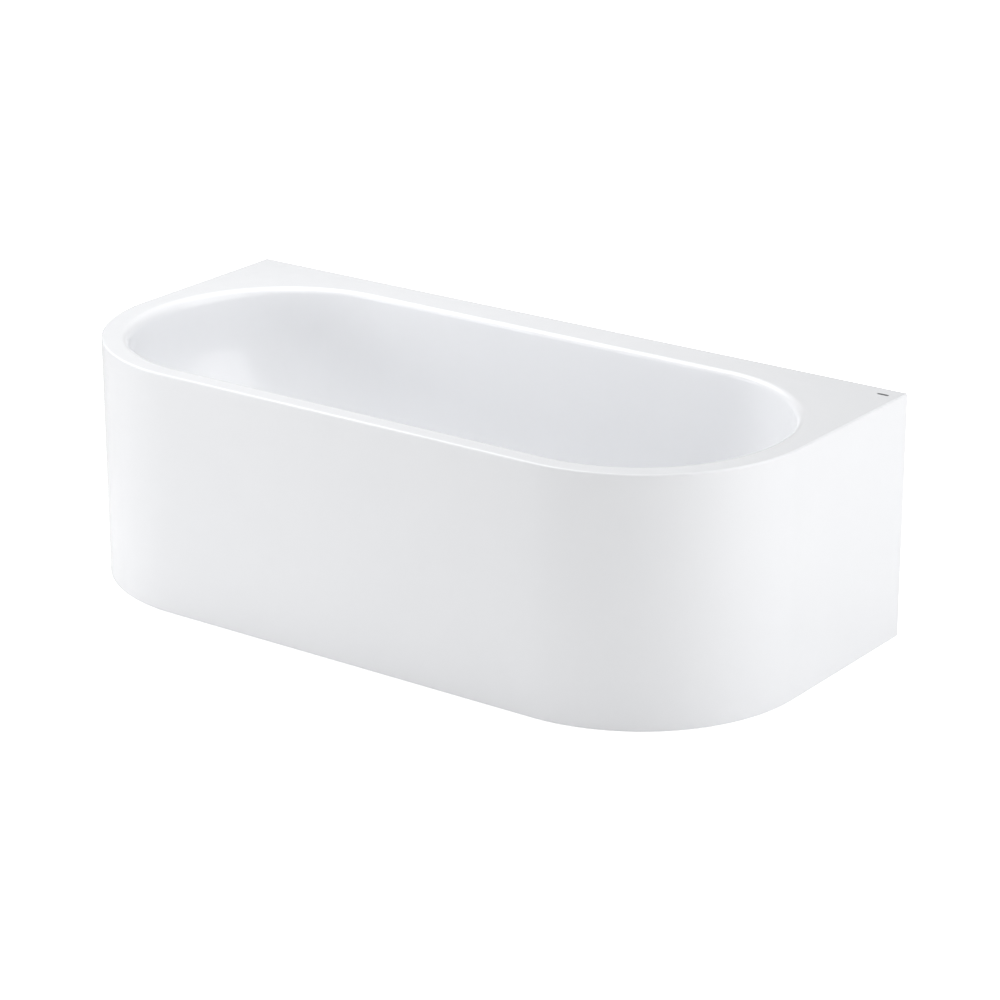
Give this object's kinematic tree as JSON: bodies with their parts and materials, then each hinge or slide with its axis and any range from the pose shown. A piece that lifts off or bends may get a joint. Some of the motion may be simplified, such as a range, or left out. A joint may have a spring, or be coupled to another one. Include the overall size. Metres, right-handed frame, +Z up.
{
  "type": "built-in bathtub",
  "caption": "Back-to-wall bath with a D-shaped floor-length skirt, an oval-ended basin, turn-knob overflow, pop-up waste, trap and adjustable feet.",
  "frame": {"origin": "centre of the footprint, on the floor", "axes": "+X along the wall to the right, +Y towards the wall, +Z up"},
  "size_m": [1.8, 0.85, 0.57],
  "materials": {
    "gloss_white": "glossy sanitary acrylic",
    "glass_fibre": "sprayed glass-fibre resin, rough",
    "plate_grey": "satin grey, blank",
    "chipboard": "resin-coated particle board",
    "timber": "planed softwood",
    "galvanised_steel": "hot-dip galvanised",
    "zinc_plate": "bright zinc plated",
    "chrome": "polished chrome plate",
    "stainless": "turned stainless steel",
    "black_rubber": "moulded rubber",
    "seal_foam": "closed-cell foam tape",
    "black_plastic": "moulded polyamide",
    "white_plastic": "moulded polypropylene",
    "grey_plastic": "moulded union nut",
    "hose_grey": "extruded ribbed hose",
    "cable_black": "extruded cable sheath"
  },
  "bodies": {
    "bath": {"base_board_left": "chipboard", "base_board_right": "chipboard", "basin_backing": "glass_fibre", "bath_shell": "gloss_white", "batten_screws": "zinc_plate", "board_screws": "zinc_plate", "bracket_pads": "black_rubber", "control_cable": "cable_black", "cradle_end_caps": "black_plastic", "cradle_left": "galvanised_steel", "cradle_right": "galvanised_steel", "foot_lock_nuts": "zinc_plate", "foot_weld_nuts": "zinc_plate", "lever_pin": "stainless", "middle_foot_plate": "galvanised_steel", "overflow_body": "white_plastic", "overflow_flange": "chrome", "overflow_hose": "hose_grey", "overflow_seal": "black_rubber", "overflow_washer": "black_rubber", "rear_batten": "timber", "rear_upright_left": "galvanised_steel", "rear_upright_right": "galvanised_steel", "rim_plate": "plate_grey", "side_arm_left": "galvanised_steel", "side_arm_right": "galvanised_steel", "skirt": "gloss_white", "skirt_backing": "glass_fibre", "skirt_ties": "galvanised_steel", "tie_screws": "zinc_plate", "wall_bracket_left": "galvanised_steel", "wall_bracket_right": "galvanised_steel", "wall_seal": "seal_foam", "waste_body": "white_plastic", "waste_flange": "chrome", "waste_seal_lower": "black_rubber", "waste_seal_upper": "black_rubber"},
    "foot_front_left": {"foot_stud_front_left": "zinc_plate", "foot_pad_front_left": "black_plastic"},
    "foot_rear_left": {"foot_stud_rear_left": "zinc_plate", "foot_pad_rear_left": "black_plastic"},
    "foot_front_right": {"foot_stud_front_right": "zinc_plate", "foot_pad_front_right": "black_plastic"},
    "foot_rear_right": {"foot_stud_rear_right": "zinc_plate", "foot_pad_rear_right": "black_plastic"},
    "foot_middle": {"foot_stud_middle": "zinc_plate", "foot_pad_middle": "black_plastic"},
    "overflow_control": {"overflow_knob": "chrome", "knob_spindle": "stainless"},
    "plug": {"plug_cap": "chrome", "plug_seal": "black_rubber", "plug_stem": "stainless"},
    "lever": {"lift_lever": "black_plastic"},
    "trap": {"trap_body": "white_plastic", "trap_nut": "grey_plastic", "trap_seal": "black_rubber", "outlet_pipe": "white_plastic", "outlet_nut": "grey_plastic"}
  },
  "joints": [
    {"name": "foot_front_left_height", "type": "slide", "parent": "bath", "child": "foot_front_left", "axis": [0, 0, -1], "range_m": [-0.002, 0.015]},
    {"name": "foot_rear_left_height", "type": "slide", "parent": "bath", "child": "foot_rear_left", "axis": [0, 0, -1], "range_m": [-0.002, 0.015]},
    {"name": "foot_front_right_height", "type": "slide", "parent": "bath", "child": "foot_front_right", "axis": [0, 0, -1], "range_m": [-0.002, 0.015]},
    {"name": "foot_rear_right_height", "type": "slide", "parent": "bath", "child": "foot_rear_right", "axis": [0, 0, -1], "range_m": [-0.002, 0.015]},
    {"name": "foot_middle_height", "type": "slide", "parent": "bath", "child": "foot_middle", "axis": [0, 0, -1], "range_m": [-0.002, 0.015]},
    {"name": "knob_turn", "type": "hinge", "parent": "bath", "child": "overflow_control", "pos_m": [0, -0.361, 0.475], "axis": [0, 1, 0], "range_deg": [0, 110]},
    {"name": "plug_lift", "type": "slide", "parent": "bath", "child": "plug", "axis": [0, 0, 1], "range_m": [0, 0.01]},
    {"name": "lever_rock", "type": "hinge", "parent": "bath", "child": "lever", "pos_m": [0, -0.047, 0.123], "axis": [1, 0, 0], "range_deg": [0, 26]},
    {"name": "trap_swivel", "type": "hinge", "parent": "bath", "child": "trap", "pos_m": [0, -0.025, 0.1], "axis": [0, 0, 1], "range_deg": [-35, 35]}
  ],
  "couplings": [
    {"joint": "plug_lift", "follows": "knob_turn", "m_per_rad": 0.0052086},
    {"joint": "lever_rock", "follows": "knob_turn", "ratio": 0.23636}
  ]
}
